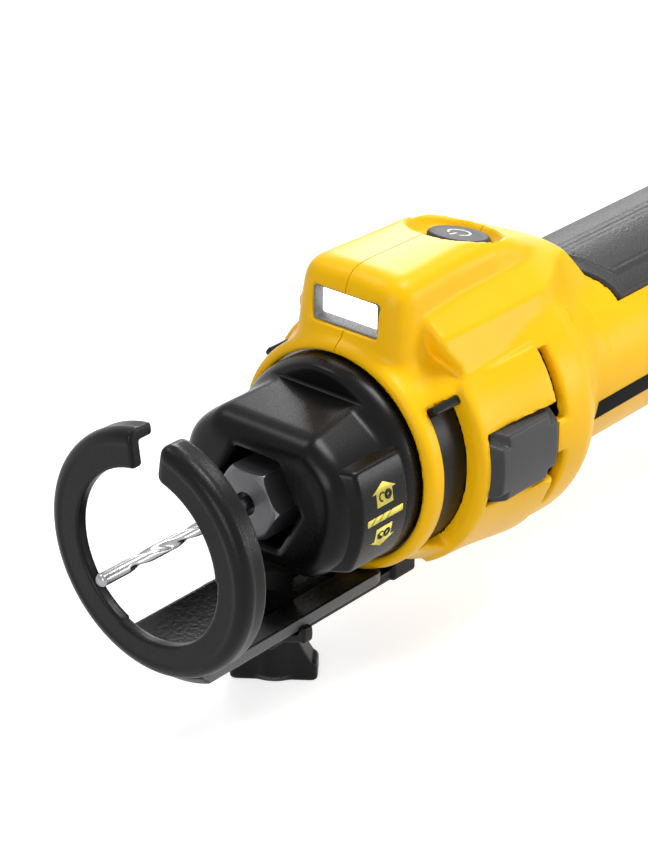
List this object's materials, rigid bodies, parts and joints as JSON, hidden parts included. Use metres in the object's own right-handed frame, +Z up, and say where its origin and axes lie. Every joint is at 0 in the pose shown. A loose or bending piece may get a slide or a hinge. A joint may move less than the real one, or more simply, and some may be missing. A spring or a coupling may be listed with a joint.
{
  "type": "drywall cut out tool",
  "caption": "Cordless hand-held cut out tool with a turning spiral bit in a collet, a lock collar, a C-shaped depth guide on a sliding arm, a lamp, a power button and a battery dock.",
  "frame": {"origin": "centre of the bottom of the bounding box, on the surface that the tool lies on", "axes": "X along the spindle with the bit pointing to -X, +Z up towards the lamp and the power button, -Y the tool's left side"},
  "size_m": [0.3146, 0.076, 0.099],
  "materials": {
    "yellow_shell": "satin moulded plastic",
    "grip_rubber": "matt textured rubber",
    "black_plastic": "satin moulded plastic",
    "dark_plastic": "satin moulded plastic",
    "lamp_clear": "clear lens",
    "white_plastic": "gloss",
    "circuit_board": "solder mask",
    "aluminium": "cast",
    "lamination": "stacked sheet",
    "copper_wire": "enamelled",
    "bearing_steel": "ground",
    "lead_sleeve": "matt",
    "brass": "plain",
    "black_steel": "black coated",
    "tool_steel": "ground"
  },
  "bodies": {
    "tool_body": {"left_housing": "yellow_shell", "right_housing": "yellow_shell", "rubber_grip": "grip_rubber", "motor_sleeve": "black_plastic", "rear_bearing_plate": "black_plastic", "terminal_block": "black_plastic", "guide_bracket": "black_plastic", "switch_body": "black_plastic", "left_badge": "dark_plastic", "right_badge": "dark_plastic", "controller_tray": "dark_plastic", "lamp_lens": "lamp_clear", "lamp_reflector": "white_plastic", "lamp_chips": "white_plastic", "lamp_board": "circuit_board", "switch_plate": "circuit_board", "sensor_board": "circuit_board", "controller_board": "circuit_board", "front_bearing_plate": "aluminium", "stator_core": "lamination", "stator_windings": "copper_wire", "front_bearing_outer": "bearing_steel", "front_bearing_balls": "bearing_steel", "rear_bearing_outer": "bearing_steel", "rear_bearing_balls": "bearing_steel", "collar_clip": "bearing_steel", "motor_leads": "lead_sleeve", "battery_leads": "lead_sleeve", "terminal_blades": "brass", "housing_screws": "black_steel", "bracket_screws": "black_steel", "clamp_bolt": "black_steel"},
    "spindle": {"spindle_shaft": "bearing_steel", "rotor_core": "lamination", "rotor_magnets": "lamination", "cooling_fan": "black_plastic", "front_bearing_inner": "bearing_steel", "rear_bearing_inner": "bearing_steel", "collet": "tool_steel", "collet_nut": "tool_steel", "cutting_bit": "tool_steel"},
    "collar": {"lock_collar": "black_plastic", "left_collar_pad": "dark_plastic", "right_collar_pad": "dark_plastic"},
    "button": {"power_button": "dark_plastic"},
    "depth_guide": {"guide_foot": "black_steel", "guide_arm": "black_steel", "foot_rivets": "bearing_steel"},
    "knob": {"wing_knob": "black_plastic", "knob_insert": "brass"}
  },
  "joints": [
    {"name": "spindle_spin", "type": "hinge", "parent": "tool_body", "child": "spindle", "pos_m": [-0.07675, 0, 0.051], "axis": [1, 0, 0], "continuous": true},
    {"name": "lock_collar_turn", "type": "hinge", "parent": "tool_body", "child": "collar", "pos_m": [-0.08675, 0, 0.051], "axis": [1, 0, 0], "range_deg": [-30, 30]},
    {"name": "power_button_press", "type": "slide", "parent": "tool_body", "child": "button", "axis": [-0.1908, 0, -0.9816], "range_m": [0, 0.0015], "stiffness_N_per_m": 600, "springref_m": -0.0005},
    {"name": "depth_guide_slide", "type": "slide", "parent": "tool_body", "child": "depth_guide", "axis": [1, 0, 0], "range_m": [-0.018, 0.006]},
    {"name": "guide_knob_turn", "type": "hinge", "parent": "tool_body", "child": "knob", "pos_m": [-0.09875, 0, 0.006], "axis": [0, 0, 1], "range_deg": [0, 360]}
  ]
}
